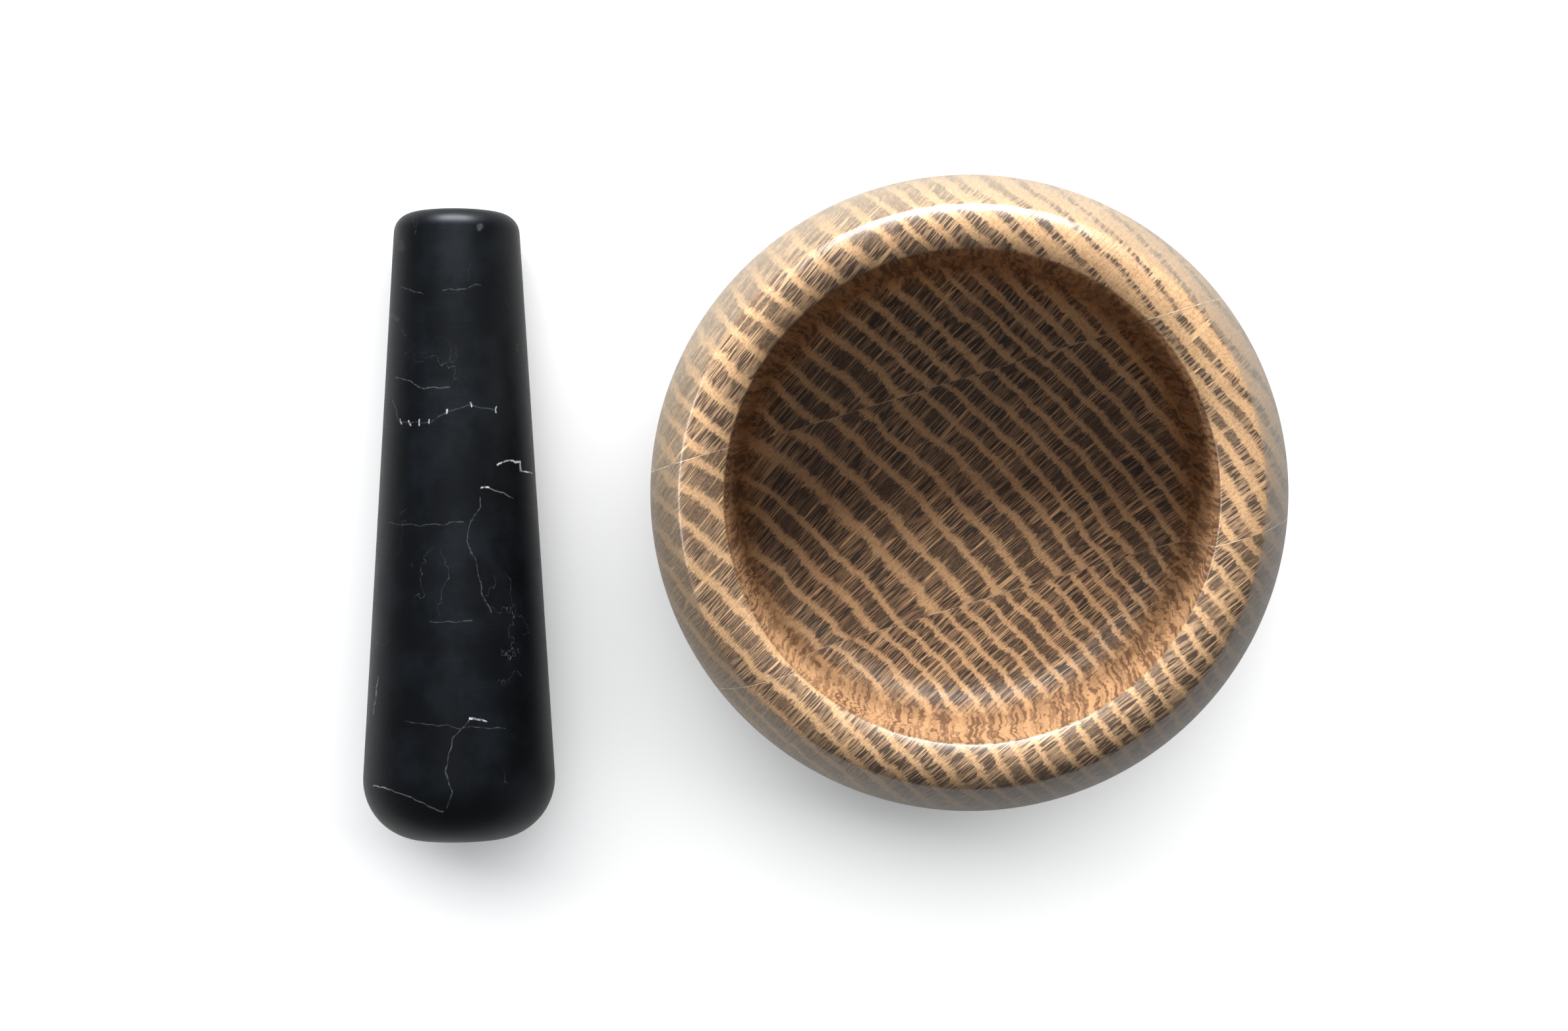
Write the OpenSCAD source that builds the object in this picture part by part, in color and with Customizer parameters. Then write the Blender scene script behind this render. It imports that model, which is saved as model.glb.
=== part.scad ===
// Mortar and pestle.
// The mortar is turned from three oak staves glued face to face with their end
// grain upward. The pestle is a tapered marble rod that lies beside it.
// Origin: centre of the mortar's base, with +Z up and the far side at +Y.

/* [Mortar] */
// Diameter at the belly, the widest point of the outer wall
mortar_d = 140; // [120:1:200]
// Height of the belly above the base
belly_z = 29; // [24:0.5:36]
// Height of the rim's two edges above the base
rim_z = 60; // [50:0.5:80]
// How far the crease between outer wall and rim stands in from the belly
crease_in = 8.5; // [4:0.25:12]
// How far the flat base's edge stands in from the belly
base_in = 18; // [12:0.5:22]

/* [Bowl] */
// Width of the rim from the crease to the mouth
rim_w = 9.7; // [6:0.1:14]
// Height of the rim's rounded top above its two edges
rim_rise = 1.5; // [0.5:0.1:3]
// Lean of the inner wall from upright, in degrees
wall_lean = 1.5; // [0.5:0.5:4]
// Thickness of the wood under the bowl
floor_t = 14; // [8:0.5:20]
// Radius of the fillet between the floor and the inner wall
floor_fillet = 9; // [4:0.5:14]

/* [Staves] */
// Width of the middle stave, from glue line to glue line
stave_w = 49.4; // [36:0.1:60]
// Thickness of each glue line
glue_t = 0.12; // [0.08:0.02:0.3]
// Turn of the staves about the mortar's axis, in degrees
stave_turn = 16.9; // [-90:0.1:90]

/* [Pestle] */
// Length of the pestle along its axis
pestle_len = 142.5; // [100:0.5:200]
// Diameter of the thin end
thin_d = 28; // [20:0.2:36]
// Lean of the pestle's side against its axis, in degrees
taper = 3.4; // [1:0.1:5]
// Radius of the rounded shoulder at the thick end
shoulder_r = 13.8; // [6:0.2:14]
// Radius of the shallow dome that closes the thick end
dome_r = 90; // [40:1:95]
// Radius of the rounded edge at the thin end
thin_edge_r = 4.5; // [1:0.25:6]

/* [Layout] */
// Clear space between the mortar and the pestle on its left
side_gap = 23.5; // [5:0.5:80]
// Distance of the pestle's middle in front of the mortar's middle
pestle_front = 8; // [-30:0.5:30]
// Turn of the pestle on the surface it lies on, in degrees
pestle_turn = 0.6; // [-10:0.1:10]

/* [Hidden] */
$fn = 128;

belly_r = mortar_d / 2;
crease_r = belly_r - crease_in;
mouth_r = crease_r - rim_w;

// The wall above the belly is one arc, upright at the belly, up to the crease
upper_h = rim_z - belly_z;
upper_r = (crease_in * crease_in + upper_h * upper_h) / (2 * crease_in);

// The wall below the belly is one arc, upright at the belly, down to the flat base's edge
lower_r = (base_in * base_in + belly_z * belly_z) / (2 * base_in);
lower_x = belly_r - lower_r;

// The rim's top is one arc from the crease over to the mouth
rim_r = (rim_w * rim_w / 4 + rim_rise * rim_rise) / (2 * rim_rise);

// The inner wall leans out to the mouth, and the fillet touches it and the floor
fillet_z = floor_t + floor_fillet;
fillet_x = mouth_r - (rim_z - fillet_z) * tan(wall_lean) - floor_fillet / cos(wall_lean);
touch_x = fillet_x + floor_fillet * cos(wall_lean);
touch_z = fillet_z - floor_fillet * sin(wall_lean);

// The pestle's axis starts at its thin end, whose rounded edge touches the side
thin_r = thin_d / 2;
thin_x = thin_r + thin_edge_r * (tan(taper) - 1 / cos(taper));
thin_z = thin_edge_r * (1 - sin(taper));

// The shoulder's circle touches the side and, from inside, the dome's circle
dome_z = pestle_len - dome_r;
side_x = thin_r + dome_z * tan(taper) - shoulder_r / cos(taper);
shoulder_rise = cos(taper) * cos(taper) * (sqrt(pow((dome_r - shoulder_r) / cos(taper), 2)
    - side_x * side_x) - side_x * tan(taper));
shoulder_x = side_x + shoulder_rise * tan(taper);
shoulder_z = dome_z + shoulder_rise;
side_end_z = shoulder_z - shoulder_r * sin(taper);
dome_start_z = dome_z + dome_r * shoulder_rise / (dome_r - shoulder_r);
head_r = shoulder_x + shoulder_r;
pestle_x = -(belly_r + side_gap + head_r);

over = 5; // how far a cutting shape reaches past what it cuts

// The part of a disc that lies in the window between two corners
module disc_part(centre, r, low, high) {
    intersection() {
        translate(centre) circle(r);
        translate(low) square(high - low);
    }
}

// A block of the section from the axis out to x, between two heights
module core(x, from, to) {
    translate([0, from]) square([x, to - from]);
}

// Half of the mortar's section, before the bowl is hollowed
module mortar_blank() {
    core(lower_x, 0, belly_z);
    disc_part([lower_x, belly_z], lower_r, [lower_x, 0], [belly_r + over, belly_z]);
    disc_part([belly_r - upper_r, belly_z], upper_r, [0, belly_z], [belly_r + over, rim_z]);
    disc_part([crease_r - rim_w / 2, rim_z + rim_rise - rim_r], rim_r, [0, rim_z],
        [belly_r, rim_z + over]);
}

// Half of the bowl's section
module bowl_hollow() {
    core(fillet_x, floor_t, touch_z);
    disc_part([fillet_x, fillet_z], floor_fillet, [fillet_x, 0], [belly_r, touch_z]);
    polygon([
        [0, touch_z], [touch_x, touch_z], [mouth_r, rim_z],
        [mouth_r + over * tan(wall_lean), rim_z + over], [0, rim_z + over]
    ]);
}

// The section is swept round from the middle of the far stave
module mortar() {
    rotate([0, 0, 90]) rotate_extrude() difference() {
        mortar_blank();
        bowl_hollow();
    }
}

// The layer of the mortar between two planes, turned to where the staves lie
module layer(from, to) {
    rotate([0, 0, stave_turn]) intersection() {
        mortar();
        translate([-belly_r - over, from, -over])
            cube([2 * (belly_r + over), to - from, rim_z + 3 * over]);
    }
}

module stave_centre() {
    half = (stave_w - glue_t) / 2;
    color("#9a7650") layer(-half, half);
}

module stave_far() {
    color("#a8845c") layer((stave_w + glue_t) / 2, belly_r + over);
}

module stave_near() {
    color("#a27d56") layer(-belly_r - over, -(stave_w + glue_t) / 2);
}

module glue_line(middle) {
    color("#e0cfa6") layer(middle - glue_t / 2, middle + glue_t / 2);
}

// Half of the pestle's section, with its axis upright and its thin end at the bottom
module pestle_half() {
    core(thin_x, 0, thin_z);
    disc_part([thin_x, thin_edge_r], thin_edge_r, [thin_x, -over], [head_r, thin_z]);
    polygon([
        [0, thin_z], [thin_x + thin_edge_r * cos(taper), thin_z],
        [shoulder_x + shoulder_r * cos(taper), side_end_z], [0, side_end_z]
    ]);
    core(shoulder_x, side_end_z, dome_start_z);
    disc_part([shoulder_x, shoulder_z], shoulder_r, [shoulder_x, side_end_z],
        [head_r + over, dome_start_z]);
    disc_part([0, dome_z], dome_r, [0, dome_start_z], [head_r, pestle_len + over]);
}

// The pestle lies on its side, so its axis rises towards the thick end by the taper
module pestle() {
    color("#25272d") translate([pestle_x, -pestle_front, 0]) rotate([0, 0, pestle_turn])
        translate([0, pestle_len / 2 * cos(taper), thin_r * cos(taper)])
            rotate([90 - taper, 0, 0]) rotate_extrude() pestle_half();
}

stave_far();
stave_centre();
stave_near();
glue_line(stave_w / 2);  // glue_line_far
glue_line(-stave_w / 2);  // glue_line_near
pestle();
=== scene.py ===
import math
import bmesh
import bpy
from mathutils import Matrix, Vector


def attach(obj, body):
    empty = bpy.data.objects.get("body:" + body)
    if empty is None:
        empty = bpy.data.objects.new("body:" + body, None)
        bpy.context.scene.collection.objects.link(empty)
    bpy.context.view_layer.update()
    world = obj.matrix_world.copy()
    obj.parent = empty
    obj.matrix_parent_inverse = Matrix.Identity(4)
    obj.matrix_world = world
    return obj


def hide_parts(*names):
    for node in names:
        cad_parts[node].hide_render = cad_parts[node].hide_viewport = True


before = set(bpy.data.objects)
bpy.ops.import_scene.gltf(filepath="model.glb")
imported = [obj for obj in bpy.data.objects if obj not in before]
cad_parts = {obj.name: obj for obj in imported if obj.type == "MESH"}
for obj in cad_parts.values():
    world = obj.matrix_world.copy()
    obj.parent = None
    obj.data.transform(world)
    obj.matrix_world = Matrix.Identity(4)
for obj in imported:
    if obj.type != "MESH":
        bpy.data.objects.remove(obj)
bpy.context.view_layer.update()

mm = 0.001  # every size below is in millimetres until it is put into a mesh


def addNode(tree, kind, **settings):
    node = tree.nodes.new(kind)
    for name, value in settings.items():
        setattr(node, name, value)
    return node


def feed(tree, socket, value):
    # a socket takes a wire or a plain number, vector or colour
    if isinstance(value, bpy.types.NodeSocket):
        tree.links.new(value, socket)
    elif value is not None:
        socket.default_value = value


def calc(tree, operation, a, b=None, c=None, clamp=False):
    node = addNode(tree, "ShaderNodeMath", operation=operation, use_clamp=clamp)
    for socket, value in zip(node.inputs, (a, b, c)):
        feed(tree, socket, value)
    return node.outputs[0]


def fit(tree, value, low, high, newLow=0.0, newHigh=1.0, smooth=True):
    node = addNode(tree, "ShaderNodeMapRange", clamp=True,
                   interpolation_type="SMOOTHSTEP" if smooth else "LINEAR")
    for socket, part in zip(node.inputs, (value, low, high, newLow, newHigh)):
        feed(tree, socket, part)
    return node.outputs[0]


def joinVector(tree, x, y, z):
    node = addNode(tree, "ShaderNodeCombineXYZ")
    for socket, value in zip(node.inputs, (x, y, z)):
        feed(tree, socket, value)
    return node.outputs[0]


def splitVector(tree, vector):
    node = addNode(tree, "ShaderNodeSeparateXYZ")
    feed(tree, node.inputs[0], vector)
    return node.outputs


def stretch(tree, vector, sizes):
    # divides a vector by a size along each axis, so a noise of scale 1 has features of those sizes
    node = addNode(tree, "ShaderNodeVectorMath", operation="DIVIDE")
    feed(tree, node.inputs[0], vector)
    feed(tree, node.inputs[1], sizes)
    return node.outputs[0]


def cloud(tree, vector, sizes, detail=2.0, roughness=0.5, lift=0.0):
    # noise about 0.5 with features of the given sizes; lift picks another slice of it
    node = addNode(tree, "ShaderNodeTexNoise", noise_dimensions="4D")
    feed(tree, node.inputs["Vector"], stretch(tree, vector, sizes))
    node.inputs["W"].default_value = lift
    node.inputs["Scale"].default_value = 1.0
    node.inputs["Detail"].default_value = detail
    node.inputs["Roughness"].default_value = roughness
    return node.outputs["Fac"]


def sway(tree, vector, sizes, reach, lift=0.0, detail=1.0):
    # noise about zero that moves up to about half of reach each way
    level = cloud(tree, vector, sizes, detail, 0.5, lift)
    return calc(tree, "MULTIPLY", calc(tree, "SUBTRACT", level, 0.5), reach)


def patches(tree, vector, sizes, low, high, newLow=0.0, newHigh=1.0, detail=1.0, roughness=0.5, lift=0.0):
    # a mask made of noise: newLow where the noise is under low, and newHigh where it is over high
    return fit(tree, cloud(tree, vector, sizes, detail, roughness, lift), low, high, newLow, newHigh)


def blend(tree, amount, first, second, mode="MIX"):
    node = addNode(tree, "ShaderNodeMix", data_type="RGBA", blend_type=mode)
    feed(tree, node.inputs[0], amount)
    feed(tree, node.inputs[6], first)
    feed(tree, node.inputs[7], second)
    return node.outputs[2]


def openGroup(name, inputs, outputs):
    # an input is a name, a kind of socket and a value or none; an output has no value
    group = bpy.data.node_groups.new(name, "ShaderNodeTree")
    for label, kind, value in inputs:
        socket = group.interface.new_socket(name=label, in_out="INPUT", socket_type=kind)
        if value is not None:
            socket.default_value = value
    for label, kind in outputs:
        group.interface.new_socket(name=label, in_out="OUTPUT", socket_type=kind)
    return group, addNode(group, "NodeGroupInput"), addNode(group, "NodeGroupOutput")


def useGroup(tree, group, **values):
    node = addNode(tree, "ShaderNodeGroup", node_tree=group)
    for name, value in values.items():
        feed(tree, node.inputs[name], value)
    return node


def openMaterial(name):
    material = bpy.data.materials.new(name)
    material.use_nodes = True
    tree = material.node_tree
    return material, tree, tree.nodes["Principled BSDF"]


def corner(bm, x, z):
    return bm.verts.new((x, 0, z))


def addEdge(bm, first, second):
    bm.edges.new((first, second))
    return second


def sweepArc(bm, start, centre, angle, steps):
    # a spun corner leaves a round stretch of the section behind it
    swept = bmesh.ops.spin(bm, geom=[start], cent=(centre[0], 0, centre[1]), axis=(0, 1, 0),
                           dvec=(0, 0, 0), angle=angle, steps=steps, use_merge=False, use_duplicate=False)
    return [part for part in swept["geom_last"] if isinstance(part, bmesh.types.BMVert)][0]


def line(bm, start, x, z, steps=1):
    first = start.co.copy()
    for step in range(1, steps + 1):
        spot = first.lerp(Vector((x, 0, z)), step / steps)
        start = addEdge(bm, start, corner(bm, spot.x, spot.z))
    return start


def turnSection(bm, steps):
    bmesh.ops.remove_doubles(bm, verts=bm.verts, dist=1e-6)
    bmesh.ops.spin(bm, geom=bm.verts[:] + bm.edges[:], cent=(0, 0, 0), axis=(0, 0, 1), dvec=(0, 0, 0),
                   angle=2 * math.pi, steps=steps, use_merge=True, use_duplicate=False)
    bmesh.ops.remove_doubles(bm, verts=bm.verts, dist=2e-6)
    bmesh.ops.recalc_face_normals(bm, faces=bm.faces)


def finishPiece(bm, name, material, body, nodes):
    for face in bm.faces:
        face.smooth = True
    mesh = bpy.data.meshes.new(name)
    bm.to_mesh(mesh)
    bm.free()
    piece = bpy.data.objects.new(name, mesh)
    bpy.context.scene.collection.objects.link(piece)
    piece.data.materials.append(material)
    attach(piece, body)
    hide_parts(*nodes)
    print("made", name, len(mesh.polygons), "faces")
    return piece


def inMillimetres(tree, vector):
    node = addNode(tree, "ShaderNodeVectorMath", operation="SCALE")
    feed(tree, node.inputs[0], vector)
    node.inputs["Scale"].default_value = 1 / mm
    return node.outputs[0]


oakGrain = dict(
    reach=262.0,  # from the pith to the middle of the mortar
    lean=0.05,  # how far the rings drift sideways for each millimetre up
    swellFrom=232.0, swellTo=302.0,  # the stretch of wide years, measured from the pith
    crowding=0.4, crowdSpan=24.0, crowdShare=0.3,  # how fast the years get narrow, and their bands wide
    bandStart=(0.88, 1.04), bandEnd=(0.14, 0.36),  # where in a year the light wood begins and ends
    calmFrom=44.0, calmTo=60.0, calmShare=0.14, calmSlant=0.6,  # the plainer wood on the right
    # bends of the rings and rays: their size outwards, around and up, how far they reach, their slice
    drift=dict(sizes=(60, 34, 90), reach=4.2, lift=1.3),
    kink=dict(sizes=(20, 7.5, 26), reach=2.6, lift=4.1),
    smallKink=dict(sizes=(9, 2.6, 12), reach=0.9, lift=2.6),
    wave=dict(sizes=(16, 12, 7), reach=2.0, lift=7.7),
    rayWave=dict(sizes=(50, 40, 7), reach=2.0, lift=5.5),
    rayBend=dict(sizes=(40, 20, 30), reach=1.2, lift=6.6),
    years=dict(sizes=(8, 1, 1), reach=2.4, lift=8.4),
    ragged=dict(sizes=(2.2, 0.4, 8), reach=2.0, lift=2.9, detail=2.0),
    frayed=dict(sizes=(0.8, 0.6, 4), reach=1.4, lift=1.2, detail=2.0),
    # the marks in the wood
    stroke=dict(sizes=(4.5, 0.34, 30), low=0.4, high=0.56, lift=3.3),
    fibre=dict(sizes=(0.9, 0.2, 20), low=0.3, high=0.7, newLow=0.5, newHigh=0.95, lift=4.8),
    strokePatch=dict(sizes=(18, 12, 60), low=0.38, high=0.52, detail=2.0, lift=6.2),
    rayCore=0.35,  # the share of a ray's width that is solid
    strongRay=dict(sizes=(140, 1.7, 90), width=0.013, lift=9.1),
    strongPatch=dict(sizes=(16, 2.4, 60), low=0.4, high=0.6, newLow=0.1, newHigh=0.95, lift=2.2),
    fineRay=dict(sizes=(70, 0.72, 60), width=0.042, lift=1.7),
    finePatch=dict(sizes=(5, 2, 60), low=0.4, high=0.64, newLow=0.05, newHigh=0.75, lift=8.8),
    streak=dict(sizes=(0.75, 0.9, 60), lift=5.9),
    grit=dict(sizes=(0.55, 0.4, 4), low=0.44, high=0.62, detail=2.0, roughness=0.6, lift=9.7),
    pore=dict(sizes=(0.3, 0.34, 5), low=0.6, high=0.72, lift=7.1),
    broad=dict(sizes=(40, 30, 50), lift=0.4),
    speck=dict(sizes=(0.32, 0.32, 0.6), roughness=0.7, lift=3.7),
)


def makeOakFigure(look):
    # masks of oak whose pith runs upright at a given place, all sizes in millimetres
    masks = ("Band", "Dash", "Ray", "Streak", "Pore", "Broad", "Grit", "Speck")
    group, given, result = openGroup(
        "oakFigure",
        (("Vector", "NodeSocketVector", None), ("Pith", "NodeSocketVector", None),
         ("Ring", "NodeSocketFloat", 5.8), ("Shift", "NodeSocketFloat", 0.0),
         ("Swell", "NodeSocketFloat", 0.0), ("Crowd", "NodeSocketFloat", 300.0)),
        [(mask, "NodeSocketFloat") for mask in masks])

    def add(*parts):
        total = parts[0]
        for part in parts[1:]:
            total = calc(group, "ADD", total, part)
        return total

    def bend(vector, name):
        return sway(group, vector, **look[name])

    def marks(name):
        return patches(group, grain, **look[name])

    def sheets(sizes, width, lift):
        # thin sheets where a noise passes its middle
        level = cloud(group, grain, sizes, 0.0, 0.5, lift)
        away = calc(group, "ABSOLUTE", calc(group, "SUBTRACT", level, 0.5))
        return calc(group, "SUBTRACT", 1.0, fit(group, away, width * look["rayCore"], width))

    spots = inMillimetres(group, given.outputs["Vector"])
    fromPith = addNode(group, "ShaderNodeVectorMath", operation="SUBTRACT")
    feed(group, fromPith.inputs[0], spots)
    feed(group, fromPith.inputs[1], given.outputs["Pith"])
    x, y, z = splitVector(group, fromPith.outputs[0])
    length = addNode(group, "ShaderNodeVectorMath", operation="LENGTH")
    feed(group, length.inputs[0], joinVector(group, x, y, 0.0))
    out = length.outputs["Value"]
    around = calc(group, "MULTIPLY", calc(group, "ARCTAN2", y, x), look["reach"])
    plain = joinVector(group, out, around, z)
    # the rings drift slowly, kink along their length and wave up the wall
    kink = add(bend(plain, "kink"), bend(plain, "smallKink"))
    lean = calc(group, "MULTIPLY", z, look["lean"])
    u = add(out, bend(plain, "drift"), kink, bend(plain, "wave"), lean)
    v = add(around, bend(plain, "rayWave"), bend(plain, "rayBend"))
    grain = joinVector(group, u, v, z)
    # the years swell to the middle of the plank, crowd towards the bark, and no two are equally wide
    middle = fit(group, out, look["swellFrom"], look["swellTo"], 0, math.pi, smooth=False)
    swell = calc(group, "MULTIPLY", calc(group, "SINE", middle), given.outputs["Swell"])
    years = bend(joinVector(group, out, 0.0, 0.0), "years")
    crowd = calc(group, "MAXIMUM", calc(group, "SUBTRACT", out, given.outputs["Crowd"]), 0.0)
    ragged = add(bend(grain, "ragged"), bend(grain, "frayed"))
    crowded = calc(group, "MULTIPLY", crowd, look["crowding"])
    deep = add(calc(group, "SUBTRACT", u, swell), years, ragged, crowded)
    phase = calc(group, "ADD", calc(group, "DIVIDE", deep, given.outputs["Ring"]), given.outputs["Shift"])
    place = calc(group, "FRACT", phase)
    # on the right the dark zones are narrow
    right, back = splitVector(group, spots)[:2]
    calm = fit(group, calc(group, "MULTIPLY_ADD", back, look["calmSlant"], right),
               look["calmFrom"], look["calmTo"], 0.0, look["calmShare"])
    narrow = fit(group, crowd, 0.0, look["crowdSpan"], 0.0, look["crowdShare"])
    share = calc(group, "SUBTRACT", place, add(calm, narrow))
    band = calc(group, "ADD", fit(group, place, *look["bandStart"]),
                calc(group, "SUBTRACT", 1.0, fit(group, share, *look["bandEnd"])), clamp=True)
    # dark strokes lie along the rays between the bands, plain in some patches and strong in others
    dash = blend(group, marks("strokePatch"), marks("fibre"), marks("stroke"))
    # rays are thin sheets that run out from the pith
    strong = calc(group, "MULTIPLY", sheets(**look["strongRay"]), marks("strongPatch"))
    fine = calc(group, "MULTIPLY", sheets(**look["fineRay"]), marks("finePatch"))
    ray = calc(group, "MAXIMUM", strong, fine)
    streak = cloud(group, grain, **look["streak"])
    broad = cloud(group, plain, **look["broad"])
    speck = cloud(group, spots, **look["speck"])
    for mask, value in zip(masks, (band, dash, ray, streak, marks("pore"), broad, marks("grit"), speck)):
        feed(group, result.inputs[mask], value)
    return group


oakLook = dict(
    endLight=(0.385, 0.24, 0.125, 1), endMid=(0.165, 0.10, 0.057, 1), endDark=(0.026, 0.016, 0.0105, 1),
    rayLight=(0.50, 0.315, 0.165, 1), grit=(0.24, 0.135, 0.064, 1),
    rimMid=(0.235, 0.148, 0.085, 1), rimDark=(0.048, 0.029, 0.018, 1),
    sideLight=(0.275, 0.153, 0.073, 1), sideDark=(0.086, 0.041, 0.019, 1),
    # pale: the outer wall's washed-out colour, partly painted sheen for the grazing reflection of the
    # bright room, partly a paler, less oiled surface
    pale=(0.128, 0.114, 0.083, 1), paleAmount=0.76,
    gritAmount=0.6, rayAmount=(0.95, 0.4), poreAmount=0.55,  # ray: over dark wood and over light wood
    sideBand=0.35, sideStreak=(0.43, 0.57, 0.0, 0.8),  # what makes the upright streaks
    patchTone=(0.84, 1.14), fleckTone=(0.88, 1.12), fleckRoughness=0.08,
    dashHeight=-0.5, speckHeight=0.6, poreHeight=-0.6,
    # from the bowl to the polished rim
    tone=(1.06, 0.84), coat=(0.03, 0.24), roughness=(0.6, 0.42),
    wallGloss=0.55, coatRoughness=0.19, specular=0.3, bumpStrength=0.5, bumpDistance=0.05,
)


def makeOak(name, figure, pith, ring, shift, swell, crowd):
    look = oakLook
    material, tree, shader = openMaterial(name)
    coords = addNode(tree, "ShaderNodeTexCoord").outputs["Object"]
    wood = useGroup(tree, figure, Vector=coords, Pith=(pith[0], pith[1], 0), Ring=ring, Shift=shift,
                    Swell=swell, Crowd=crowd).outputs
    end = addNode(tree, "ShaderNodeAttribute", attribute_name="endGrain").outputs["Fac"]
    outside = addNode(tree, "ShaderNodeAttribute", attribute_name="outside").outputs["Fac"]
    polish = addNode(tree, "ShaderNodeAttribute", attribute_name="polish").outputs["Fac"]
    # end grain: gritty light bands, dark zones with strokes, bright rays over both
    grit = calc(tree, "MULTIPLY", wood["Grit"], look["gritAmount"])
    light = blend(tree, grit, look["endLight"], look["grit"])
    dark = blend(tree, wood["Dash"], blend(tree, polish, look["endMid"], look["rimMid"]),
                 blend(tree, polish, look["endDark"], look["rimDark"]))
    endColour = blend(tree, wood["Band"], dark, light)
    rayAmount = calc(tree, "MULTIPLY", wood["Ray"], fit(tree, wood["Band"], 0.0, 1.0, *look["rayAmount"]))
    endColour = blend(tree, rayAmount, endColour, look["rayLight"])
    # side grain: the same rings as soft upright streaks, with short dark pores
    mixSide = calc(tree, "ADD", calc(tree, "MULTIPLY", wood["Band"], look["sideBand"]),
                   fit(tree, wood["Streak"], *look["sideStreak"]), clamp=True)
    sideColour = blend(tree, mixSide, look["sideDark"], look["sideLight"])
    pores = calc(tree, "MULTIPLY", wood["Pore"], look["poreAmount"])
    sideColour = blend(tree, pores, sideColour, look["sideDark"])
    # on the outer wall the side grain is washed pale: partly painted sheen, standing in for the grazing
    # reflection of the bright room, and partly a paler, less oiled surface than the bowl
    paleSheen = blend(tree, look["paleAmount"], sideColour, look["pale"])
    sideColour = blend(tree, outside, sideColour, paleSheen)
    colour = blend(tree, end, sideColour, endColour)
    # patches and flecks, and a rim that is darker and glossier than the bowl and the outer wall
    tone = calc(tree, "MULTIPLY", fit(tree, wood["Broad"], 0.3, 0.7, *look["patchTone"], smooth=False),
                fit(tree, polish, 0.0, 1.0, *look["tone"], smooth=False))
    fleck = fit(tree, wood["Speck"], 0.3, 0.7, *look["fleckTone"], smooth=False)
    value = calc(tree, "MULTIPLY", tone, fleck)
    colour = blend(tree, 1.0, colour, joinVector(tree, value, value, value), "MULTIPLY")
    feed(tree, shader.inputs["Base Color"], colour)
    height = calc(tree, "ADD", calc(tree, "MULTIPLY", wood["Dash"], look["dashHeight"]),
                  calc(tree, "MULTIPLY", wood["Speck"], look["speckHeight"]))
    height = calc(tree, "ADD", height, calc(tree, "MULTIPLY", wood["Pore"], look["poreHeight"]))
    bump = addNode(tree, "ShaderNodeBump")
    bump.inputs["Strength"].default_value = look["bumpStrength"]
    bump.inputs["Distance"].default_value = look["bumpDistance"] * mm
    feed(tree, bump.inputs["Height"], height)
    feed(tree, shader.inputs["Normal"], bump.outputs[0])
    dulled = fit(tree, outside, 0.0, 1.0, 1.0, look["wallGloss"], smooth=False)
    gloss = calc(tree, "MULTIPLY", polish, dulled)
    feed(tree, shader.inputs["Coat Weight"], fit(tree, gloss, 0.0, 1.0, *look["coat"], smooth=False))
    uneven = look["fleckRoughness"]
    satin = calc(tree, "ADD", fit(tree, wood["Speck"], 0.2, 0.8, -uneven, uneven, smooth=False),
                 fit(tree, gloss, 0.0, 1.0, *look["roughness"], smooth=False))
    feed(tree, shader.inputs["Roughness"], satin)
    shader.inputs["Coat Roughness"].default_value = look["coatRoughness"]
    shader.inputs["Specular IOR Level"].default_value = look["specular"]
    return material


mortar = dict(
    belly=70.0, bellyHeight=29.0, rimHeight=60.0, creaseIn=8.5, baseIn=18.0, rimWidth=9.7, rimRise=1.5,
    wallLean=1.5, floorHeight=14.0, fillet=9.0, staveWidth=49.4, glue=0.12, turn=16.9,
    softMouth=1.1, softCrease=0.6, softBase=1.2,  # how far the worn edges are rounded
    polishDepth=4.0,  # how far down the bowl's wall the polish fades out
    creaseFade=0.4,  # how far inside the crease the outer wall's look begins
    endBlend=(1.5, 1.25),  # how quickly end grain takes over as the surface turns up
    # how many steps each stretch of the section has, and the whole turn
    steps=dict(floor=24, fillet=14, wall=22, rim=22, upper=24, lower=24, base=20, edge=4, turn=256),
    # each stave's pith, width and start of its years, and where they swell and crowd
    staves=dict(
        stave_far=("oakStaveFar", (-232.0, -196.0), 5.8, 0.93, 0.0, 332.0),
        stave_centre=("oakStaveCentre", (-191.0, -179.0), 5.77, 0.98, 5.8, 306.0),
        stave_near=("oakStaveNear", (-206.0, -226.0), 4.39, 0.54, 0.0, 400.0),
    ),
    glueDark=(0.12, 0.085, 0.055, 1), glueLight=(0.42, 0.35, 0.26, 1), glueRoughness=0.45,
    gluePatch=dict(sizes=(6, 6, 6), low=0.35, high=0.65, detail=3.0, roughness=0.6),
)


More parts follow.
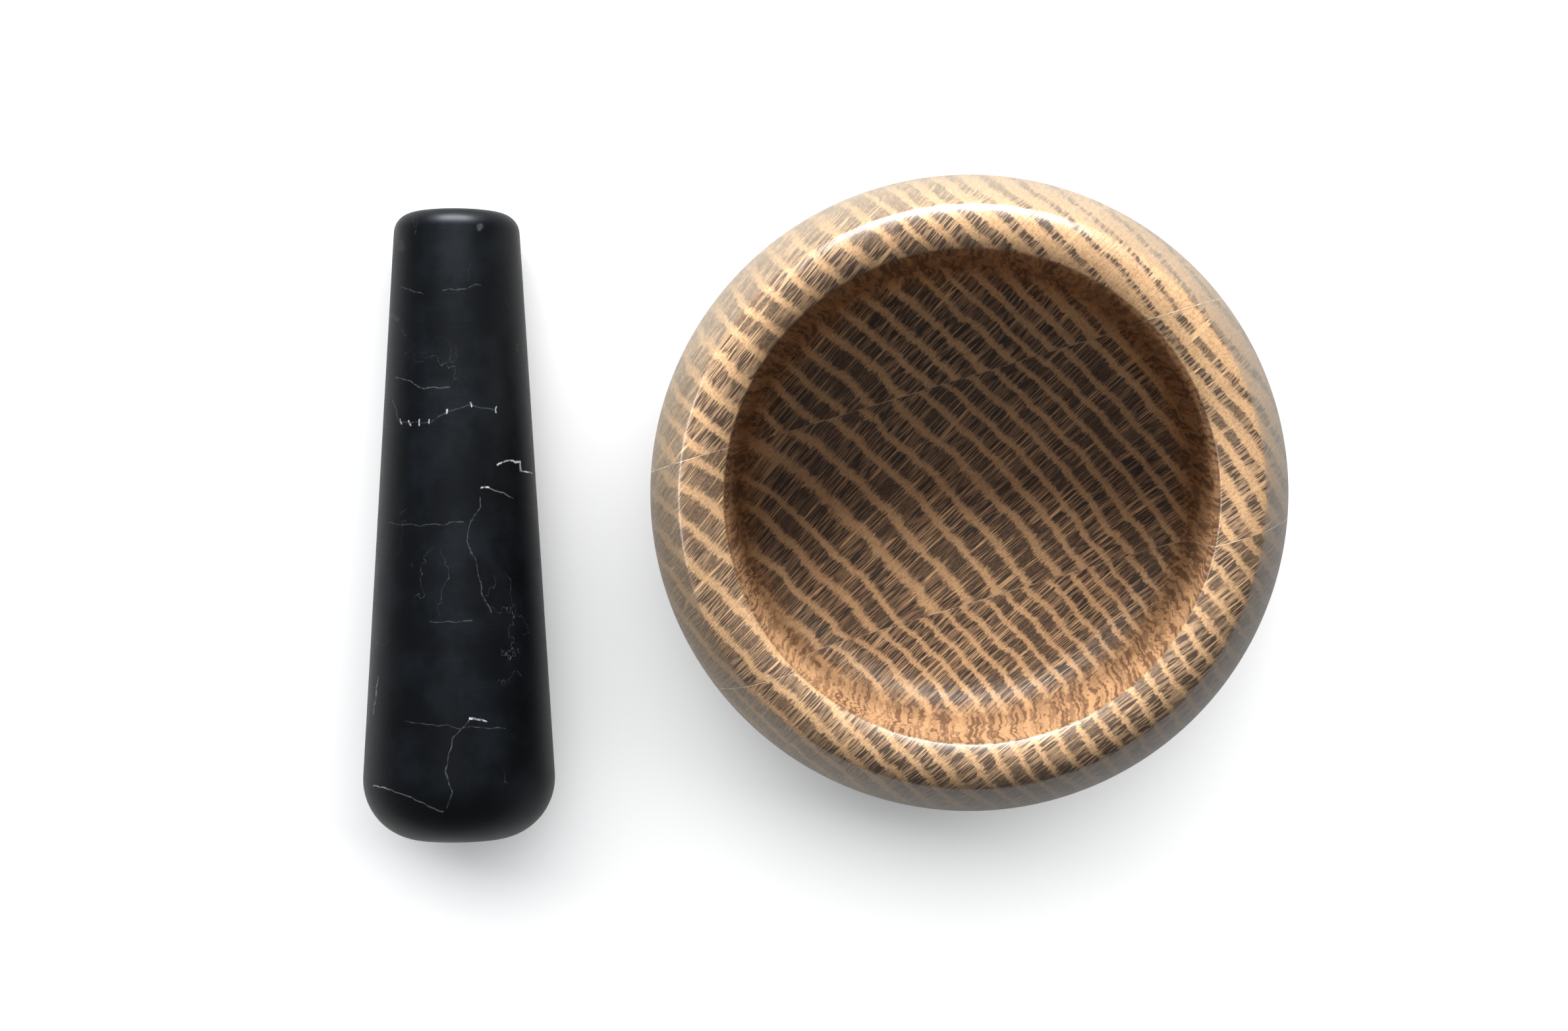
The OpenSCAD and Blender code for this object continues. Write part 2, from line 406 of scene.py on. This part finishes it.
def drawMortarSection(bm, size):
    # from the middle of the bowl's floor, up the wall, over the rim, down the outside to the base
    lean = math.radians(size["wallLean"])
    crease = size["belly"] - size["creaseIn"]
    mouth = crease - size["rimWidth"]
    filletHeight = size["floorHeight"] + size["fillet"]
    filletX = mouth - (size["rimHeight"] - filletHeight) * math.tan(lean) - size["fillet"] / math.cos(lean)
    upperHeight = size["rimHeight"] - size["bellyHeight"]
    upperRadius = (size["creaseIn"] ** 2 + upperHeight ** 2) / (2 * size["creaseIn"])
    lowerRadius = (size["baseIn"] ** 2 + size["bellyHeight"] ** 2) / (2 * size["baseIn"])
    rimRadius = (size["rimWidth"] ** 2 / 4 + size["rimRise"] ** 2) / (2 * size["rimRise"])
    rimHalf = math.asin(size["rimWidth"] / 2 / rimRadius)
    steps = size["steps"]
    spot = corner(bm, 0, size["floorHeight"] * mm)
    spot = line(bm, spot, filletX * mm, size["floorHeight"] * mm, steps["floor"])
    spot = sweepArc(bm, spot, (filletX * mm, filletHeight * mm), -(math.pi / 2 - lean), steps["fillet"])
    mouthEdge = line(bm, spot, mouth * mm, size["rimHeight"] * mm, steps["wall"])
    rimMiddle = ((crease - size["rimWidth"] / 2) * mm,
                 (size["rimHeight"] + size["rimRise"] - rimRadius) * mm)
    creaseEdge = sweepArc(bm, mouthEdge, rimMiddle, 2 * rimHalf, steps["rim"])
    upperMiddle = ((size["belly"] - upperRadius) * mm, size["bellyHeight"] * mm)
    spot = sweepArc(bm, creaseEdge, upperMiddle, math.asin(upperHeight / upperRadius), steps["upper"])
    baseAngle = math.atan2(size["bellyHeight"], lowerRadius - size["baseIn"])
    lowerMiddle = ((size["belly"] - lowerRadius) * mm, size["bellyHeight"] * mm)
    baseEdge = sweepArc(bm, spot, lowerMiddle, baseAngle, steps["lower"])
    line(bm, baseEdge, 0, 0, steps["base"])
    for edge, width in ((mouthEdge, "softMouth"), (creaseEdge, "softCrease"), (baseEdge, "softBase")):
        bmesh.ops.bevel(bm, geom=[edge], offset=size[width] * mm, offset_type="OFFSET",
                        segments=steps["edge"], profile=0.5, affect="VERTICES", material=-1,
                        clamp_overlap=True)


def markGrain(mesh, size):
    # how far each point is end grain, lies on the outer wall, and is polished by hands
    names = ("endGrain", "outside", "polish")
    for name in names:
        mesh.attributes.new(name, "FLOAT", "POINT")
    marks = [mesh.attributes[name].data for name in names]
    power, gain = size["endBlend"]
    crease = size["belly"] - size["creaseIn"]
    margin = 1.0  # past the mouth's edge
    mouth = crease - size["rimWidth"] + margin
    for vertex, end, outside, polish in zip(mesh.vertices, *marks):
        across = math.hypot(vertex.co.x, vertex.co.y) / mm
        height = vertex.co.z / mm
        end.value = min(1.0, abs(vertex.normal.z) ** power * gain)
        past = across - crease + size["creaseFade"] if height > size["bellyHeight"] else 1.0
        if across < mouth and height > size["floorHeight"] * 0.9:
            past = 0.0
        outside.value = max(0.0, min(1.0, past))
        depth = (size["rimHeight"] - height) / size["polishDepth"] if across < mouth + margin else 0.0
        polish.value = 1.0 - max(0.0, min(1.0, depth))


def turnMortar(size):
    bm = bmesh.new()
    drawMortarSection(bm, size)
    turnSection(bm, size["steps"]["turn"])
    return bm


def cutLayer(turned, size, low, high):
    # the turned mortar between two upright planes, with the two cuts closed
    bm = turned.copy()
    turn = math.radians(size["turn"])
    across = Vector((-math.sin(turn), math.cos(turn), 0))
    for limit, side in ((low, -1), (high, 1)):
        if limit is None:
            continue
        bmesh.ops.bisect_plane(bm, geom=bm.verts[:] + bm.edges[:] + bm.faces[:], dist=1e-7,
                               plane_co=across * limit * mm, plane_no=across * side, clear_outer=True)
        rim = [edge for edge in bm.edges if edge.is_boundary]
        lids = bmesh.ops.holes_fill(bm, edges=rim, sides=0)["faces"]
        for edge in rim:
            edge.smooth = False
        bmesh.ops.triangulate(bm, faces=lids, quad_method="BEAUTY", ngon_method="BEAUTY")
    return bm


def makeMortar(size):
    figure = makeOakFigure(oakGrain)
    turned = turnMortar(size)
    half = size["staveWidth"] / 2
    gap = size["glue"] / 2
    sides = dict(stave_far=(half + gap, None), stave_centre=(-half + gap, half - gap),
                 stave_near=(None, -half - gap))
    for node, (name, *grain) in size["staves"].items():
        bm = cutLayer(turned, size, *sides[node])
        wood = makeOak(name + "Wood", figure, *grain)
        piece = finishPiece(bm, name, wood, "mortar", [node])
        markGrain(piece.data, size)
    glue, tree, shader = openMaterial("driedGlue")
    spots = inMillimetres(tree, addNode(tree, "ShaderNodeTexCoord").outputs["Object"])
    fade = patches(tree, spots, **size["gluePatch"])
    feed(tree, shader.inputs["Base Color"], blend(tree, fade, size["glueDark"], size["glueLight"]))
    shader.inputs["Roughness"].default_value = size["glueRoughness"]
    lines = (("glueLineFar", "glue_line_far", half), ("glueLineNear", "glue_line_near", -half))
    for name, node, middle in lines:
        bm = cutLayer(turned, size, middle - gap, middle + gap)
        finishPiece(bm, name, glue, "mortar", [node])
    turned.free()


pestle = dict(
    length=142.5, thin=14.0, taper=3.4, shoulder=13.8, dome=90.0, thinEdge=4.5,
    middle=(-115.10, -8.0), turn=0.6,
    steps=dict(face=10, edge=12, side=90, shoulder=26, dome=10, turn=224),
)


def drawPestleSection(bm, size):
    # from the middle of the thin end's face, along the side, to the top of the thick end's dome
    taper = math.radians(size["taper"])
    edge = size["thinEdge"]
    thinX = size["thin"] + edge * (math.tan(taper) - 1 / math.cos(taper))
    domeZ = size["length"] - size["dome"]
    inner = size["dome"] - size["shoulder"]
    sideX = size["thin"] + domeZ * math.tan(taper) - size["shoulder"] / math.cos(taper)
    rise = math.cos(taper) ** 2 * (math.sqrt((inner / math.cos(taper)) ** 2 - sideX ** 2)
                                   - sideX * math.tan(taper))
    shoulderX = sideX + rise * math.tan(taper)
    domeAngle = math.atan2(rise, shoulderX)
    steps = size["steps"]
    spot = corner(bm, 0, 0)
    spot = line(bm, spot, thinX * mm, 0, steps["face"])
    spot = sweepArc(bm, spot, (thinX * mm, edge * mm), -(math.pi / 2 - taper), steps["edge"])
    sideEnd = (shoulderX + size["shoulder"] * math.cos(taper),
               domeZ + rise - size["shoulder"] * math.sin(taper))
    spot = line(bm, spot, sideEnd[0] * mm, sideEnd[1] * mm, steps["side"])
    shoulderMiddle = (shoulderX * mm, (domeZ + rise) * mm)
    spot = sweepArc(bm, spot, shoulderMiddle, -(taper + domeAngle), steps["shoulder"])
    sweepArc(bm, spot, (0, domeZ * mm), -(math.pi / 2 - domeAngle), steps["dome"])


def layPestle(size):
    # the side's lowest line rests on the surface, so the axis rises towards the thick end by the taper
    taper = math.radians(size["taper"])
    return (Matrix.Translation(Vector((size["middle"][0], size["middle"][1], 0)) * mm)
            @ Matrix.Rotation(math.radians(size["turn"]), 4, "Z")
            @ Matrix.Translation(Vector((0, size["length"] / 2, size["thin"])) * mm * math.cos(taper))
            @ Matrix.Rotation(math.pi / 2 - taper, 4, "X"))


def makeVeinGroup():
    # a streak between two points, in millimetres, solid in its core and soft towards its edges
    group, given, result = openGroup(
        "veinPart",
        (("Vector", "NodeSocketVector", None), ("From", "NodeSocketVector", None),
         ("To", "NodeSocketVector", None), ("Width", "NodeSocketFloat", 0.2),
         ("Strength", "NodeSocketFloat", 1.0)),
        (("Vein", "NodeSocketFloat"),))

    def combine(operation, first, second, socket="Vector"):
        node = addNode(group, "ShaderNodeVectorMath", operation=operation)
        feed(group, node.inputs[0], first)
        feed(group, node.inputs["Scale" if operation == "SCALE" else 1], second)
        return node.outputs[socket]

    reach = combine("SUBTRACT", given.outputs["To"], given.outputs["From"])
    away = combine("SUBTRACT", given.outputs["Vector"], given.outputs["From"])
    along = calc(group, "DIVIDE", combine("DOT_PRODUCT", away, reach, "Value"),
                 combine("DOT_PRODUCT", reach, reach, "Value"), clamp=True)
    gap = combine("DISTANCE", away, combine("SCALE", reach, along), "Value")
    core = calc(group, "MULTIPLY", given.outputs["Width"], 0.3)
    vein = calc(group, "SUBTRACT", 1.0, fit(group, gap, core, given.outputs["Width"]))
    feed(group, result.inputs["Vein"], calc(group, "MULTIPLY", vein, given.outputs["Strength"]))
    return group


marble = dict(
    ground=(0.0004, 0.0006, 0.0011, 1), cloudy=(0.0016, 0.0023, 0.0034, 1), vein=(0.42, 0.43, 0.44, 1),
    roughness=(0.36, 0.44), turnedRoughness=0.03, specular=0.17, specularTint=(0.84, 0.92, 1, 1),
    bumpStrength=0.25, bumpDistance=0.01,
    # how far the veins stray, with a slice of noise for each way; then the faint threads between them
    stray=dict(sizes=(4, 4, 4), reach=2.4, detail=4.0), strayAcross=1.0, strayAlong=6.0,
    thread=dict(sizes=(9, 12, 9), detail=4.0, roughness=0.55, lift=3.1), threadWidth=(0.001, 0.004),
    threadPatch=dict(sizes=(14, 14, 14), low=0.55, high=0.68, newHigh=0.08, lift=7.3),
    broken=dict(sizes=(0.9, 0.9, 0.9), low=0.36, high=0.6, newLow=0.25, detail=2.0, roughness=0.6,
                lift=5.2),
    mottle=dict(sizes=(12, 12, 12), detail=5.0, roughness=0.62, lift=1.0),
    turned=dict(sizes=(1, 0.3, 1), roughness=0.6, lift=2.0),  # fine rings left by the lathe
    # width and strength, then the points that a vein passes: across the rod and along it to the thin end
    veins=(
        (1.5, 0.025, (-13.3, 68), (-11, 63)), (0.9, 0.06, (7.2, 67.8), (7.4, 67.2)),
        (0.8, 0.03, (-15, 48.6), (-11.8, 47)), (0.2, 0.05, (-11, 54), (-5, 52.4)),
        (0.2, 0.05, (-0.6, 52.8), (7.3, 54.1)), (0.2, 0.1, (-12, 34), (-5, 31.5), (0.9, 31.4)),
        (0.2, 0.05, (-12.8, 29), (-11, 24), (-3.2, 23.2), (0.1, 25.9), (5.3, 27.4), (10.9, 26.2)),
        (0.22, 0.5, (-10.4, 24.4), (-10.2, 23.2)), (0.22, 0.6, (-8.3, 24.1), (-8.1, 23.0)),
        (0.22, 0.7, (-6.2, 24.2), (-6.3, 22.9)), (0.22, 0.5, (-3.4, 24.2), (-3.3, 23.1)),
        (0.22, 0.5, (0.2, 26.6), (0.1, 25.6)), (0.22, 0.6, (5.3, 28.0), (5.4, 27.0)),
        (0.22, 0.5, (10.9, 27.0), (10.8, 25.8)),
        (0.22, 0.7, (11.2, 14.3), (13.2, 15.2), (15.1, 14.9), (15.4, 12.9), (17.3, 11.8)),
        (0.28, 0.7, (8.1, 9), (9.4, 9)), (0.2, 0.16, (9.4, 9), (14.2, 7)),
        (0.14, 0.06, (-14, 1.5), (-7.5, 1), (4, 1.5)), (0.14, 0.08, (-3, -20.1), (6.3, -20)),
        (0.14, 0.06, (-8.6, -42.2), (12.9, -43.8)), (0.3, 0.75, (6, -41.4), (8.9, -42)),
        (0.17, 0.07, (7.3, 7.2), (7.5, 4.9), (5.5, 1.5), (4.9, -2.5), (7.8, -10.8), (8.1, -14),
         (9.9, -18.3)),
        (0.18, 0.09, (6, -41.6), (1.9, -45.6), (0.6, -53), (1.9, -57.4), (0.7, -61)),
        (0.22, 0.4, (-17.3, -57), (-16.7, -56.7), (-13.5, -56.8)),
        (0.2, 0.2, (-13.5, -56.8), (-8.6, -58.1), (-2.7, -60.8), (0, -61.5)),
        (0.2, 0.2, (-15.8, -32.8), (-17.6, -41)),
    ),
)


def makeMarble(size):
    look = marble
    part = makeVeinGroup()
    material, tree, shader = openMaterial("blackMarble")
    # the same place and turn as the rod, so that across and along are its own
    mapping = addNode(tree, "ShaderNodeMapping", vector_type="TEXTURE")
    feed(tree, mapping.inputs["Vector"], addNode(tree, "ShaderNodeTexCoord").outputs["Object"])
    mapping.inputs["Location"].default_value = (size["middle"][0] * mm, size["middle"][1] * mm, 0)
    mapping.inputs["Rotation"].default_value = (0, 0, math.radians(size["turn"]))
    spots = inMillimetres(tree, mapping.outputs[0])
    x, y = splitVector(tree, spots)[:2]
    across = sway(tree, spots, lift=look["strayAcross"], **look["stray"])
    along = sway(tree, spots, lift=look["strayAlong"], **look["stray"])
    crooked = joinVector(tree, calc(tree, "ADD", x, across), calc(tree, "ADD", y, along), 0.0)
    veins = 0.0
    for width, strength, *points in look["veins"]:
        for start, stop in zip(points, points[1:]):
            streak = useGroup(tree, part, Vector=crooked, From=(*start, 0), To=(*stop, 0), Width=width,
                              Strength=strength).outputs["Vein"]
            veins = calc(tree, "MAXIMUM", veins, streak)
    # threads that come and go on every side
    level = cloud(tree, spots, **look["thread"])
    away = calc(tree, "ABSOLUTE", calc(tree, "SUBTRACT", level, 0.5))
    thread = calc(tree, "SUBTRACT", 1.0, fit(tree, away, *look["threadWidth"]))
    thread = calc(tree, "MULTIPLY", thread, patches(tree, spots, **look["threadPatch"]))
    broken = patches(tree, spots, **look["broken"])
    veins = calc(tree, "MULTIPLY", calc(tree, "MAXIMUM", veins, thread), broken)
    mottle = cloud(tree, spots, **look["mottle"])
    turned = cloud(tree, joinVector(tree, 0.0, y, 0.0), **look["turned"])
    ground = blend(tree, fit(tree, mottle, 0.42, 0.68), look["ground"], look["cloudy"])
    feed(tree, shader.inputs["Base Color"], blend(tree, veins, ground, look["vein"]))
    ripple = look["turnedRoughness"]
    satin = calc(tree, "ADD", fit(tree, mottle, 0.3, 0.7, *look["roughness"]),
                 fit(tree, turned, 0.3, 0.7, -ripple, ripple))
    feed(tree, shader.inputs["Roughness"], satin)
    bump = addNode(tree, "ShaderNodeBump")
    bump.inputs["Strength"].default_value = look["bumpStrength"]
    bump.inputs["Distance"].default_value = look["bumpDistance"] * mm
    feed(tree, bump.inputs["Height"], turned)
    feed(tree, shader.inputs["Normal"], bump.outputs[0])
    shader.inputs["Specular IOR Level"].default_value = look["specular"]
    shader.inputs["Specular Tint"].default_value = look["specularTint"]
    return material


def makePestle(size):
    bm = bmesh.new()
    drawPestleSection(bm, size)
    turnSection(bm, size["steps"]["turn"])
    bmesh.ops.transform(bm, matrix=layPestle(size), verts=bm.verts)
    bmesh.ops.recalc_face_normals(bm, faces=bm.faces)
    return finishPiece(bm, "marblePestle", makeMarble(size), "pestle", ["pestle"])


room = dict(
    # the eye and its aim are in millimetres, and the lamps' places and sizes in metres
    eye=(-16.6, 14.7, 600.0), aim=(-41.7, -6.0, 0.0), lens=59.12, sensor=36, nearest=0.01,
    keyFrom=(-0.05, 1.08, 0.60), keySize=(1.0, 0.6), keyPower=78.0,
    topFrom=(-0.10, 0.05, 1.30), topSize=(0.6, 0.6), topPower=0.65,
    fillFrom=(-1.10, 0.10, 0.14), fillSize=(0.8, 0.15), fillPower=14.0,
    tableFrom=(0.11, 0.48, 0.75), tableSize=(2.4, 0.8), tablePower=23.0,
    tableWhite=(0.9, 0.9, 0.9, 1), tableBounce=(0.66, 0.66, 0.66, 1),
    tableGlow=(0.08, 0.084, 0.087, 1), tableRoughness=0.8, tableDrop=0.0001, tableReach=3.0,
    worldColour=(0.97, 0.985, 1, 1), worldLight=0.35, lampAim=(0, 0, 0.03),
)


def placeCamera(size):
    camera = bpy.data.objects.new("camera", bpy.data.cameras.new("camera"))
    bpy.context.scene.collection.objects.link(camera)
    eye = Vector(size["eye"]) * mm
    ahead = (Vector(size["aim"]) * mm - eye).normalized()
    right = ahead.cross(Vector((0, 1, 0))).normalized()
    up = right.cross(ahead)
    camera.matrix_world = Matrix.Translation(eye) @ Matrix((right, up, -ahead)).transposed().to_4x4()
    camera.data.lens = size["lens"]
    camera.data.sensor_width = size["sensor"]
    camera.data.clip_start = size["nearest"]
    bpy.context.scene.camera = camera


def addSoftbox(name, origin, width, depth, power, target):
    light = bpy.data.lights.new(name, "AREA")
    light.shape = "RECTANGLE"
    light.size = width
    light.size_y = depth
    light.energy = power
    lamp = bpy.data.objects.new(name, light)
    bpy.context.scene.collection.objects.link(lamp)
    lamp.location = origin
    lamp.rotation_euler = (Vector(target) - Vector(origin)).to_track_quat("-Z", "Y").to_euler()
    return lamp


def spare(lamp, *pieces):
    # the lamp lights everything but these pieces
    spared = bpy.data.collections.new(lamp.name + "Spares")
    for piece in pieces:
        spared.objects.link(piece)
    for entry in spared.collection_objects:
        entry.light_linking.link_state = "EXCLUDE"
    lamp.light_linking.receiver_collection = spared


def makeRoom(size):
    scene = bpy.context.scene
    world = bpy.data.worlds.new("studio")
    scene.world = world
    world.use_nodes = True
    backdrop = world.node_tree.nodes["Background"]
    backdrop.inputs[0].default_value = size["worldColour"]
    backdrop.inputs[1].default_value = size["worldLight"]
    keyLamp = addSoftbox("keyLight", size["keyFrom"], *size["keySize"], size["keyPower"], size["lampAim"])
    addSoftbox("topLight", size["topFrom"], *size["topSize"], size["topPower"], size["lampAim"])
    bm = bmesh.new()
    bmesh.ops.create_grid(bm, x_segments=4, y_segments=4, size=size["tableReach"])
    mesh = bpy.data.meshes.new("floor")
    bm.to_mesh(mesh)
    bm.free()
    floor = bpy.data.objects.new("floor", mesh)
    scene.collection.objects.link(floor)
    floor.location.z = -size["tableDrop"]  # just under the pieces, so that nothing flickers
    paint, tree, shader = openMaterial("floorPaint")
    # the surface looks brighter to the camera than the light that it throws back at the pieces
    direct = addNode(tree, "ShaderNodeLightPath").outputs["Is Camera Ray"]
    feed(tree, shader.inputs["Base Color"], blend(tree, direct, size["tableBounce"], size["tableWhite"]))
    feed(tree, shader.inputs["Emission Color"], blend(tree, direct, (0, 0, 0, 1), size["tableGlow"]))
    shader.inputs["Emission Strength"].default_value = 1.0
    shader.inputs["Roughness"].default_value = size["tableRoughness"]
    floor.data.materials.append(paint)
    # another lamp lights the surface, and lights it alone
    spare(keyLamp, floor)
    tableOnly = bpy.data.collections.new("tableOnly")
    tableOnly.objects.link(floor)
    tableLamp = addSoftbox("tableLight", size["tableFrom"], *size["tableSize"], size["tablePower"],
                           size["lampAim"])
    tableLamp.light_linking.receiver_collection = tableOnly
    scene.view_settings.view_transform = "Standard"
    return floor


def addFill(size, *spared):
    # a low lamp on the left brightens the mortar's outer wall
    lamp = addSoftbox("fillLight", size["fillFrom"], *size["fillSize"], size["fillPower"], size["lampAim"])
    spare(lamp, *spared)


placeCamera(room)
floor = makeRoom(room)
print("room ready")
makeMortar(mortar)
print("mortar ready")
addFill(room, floor, makePestle(pestle))
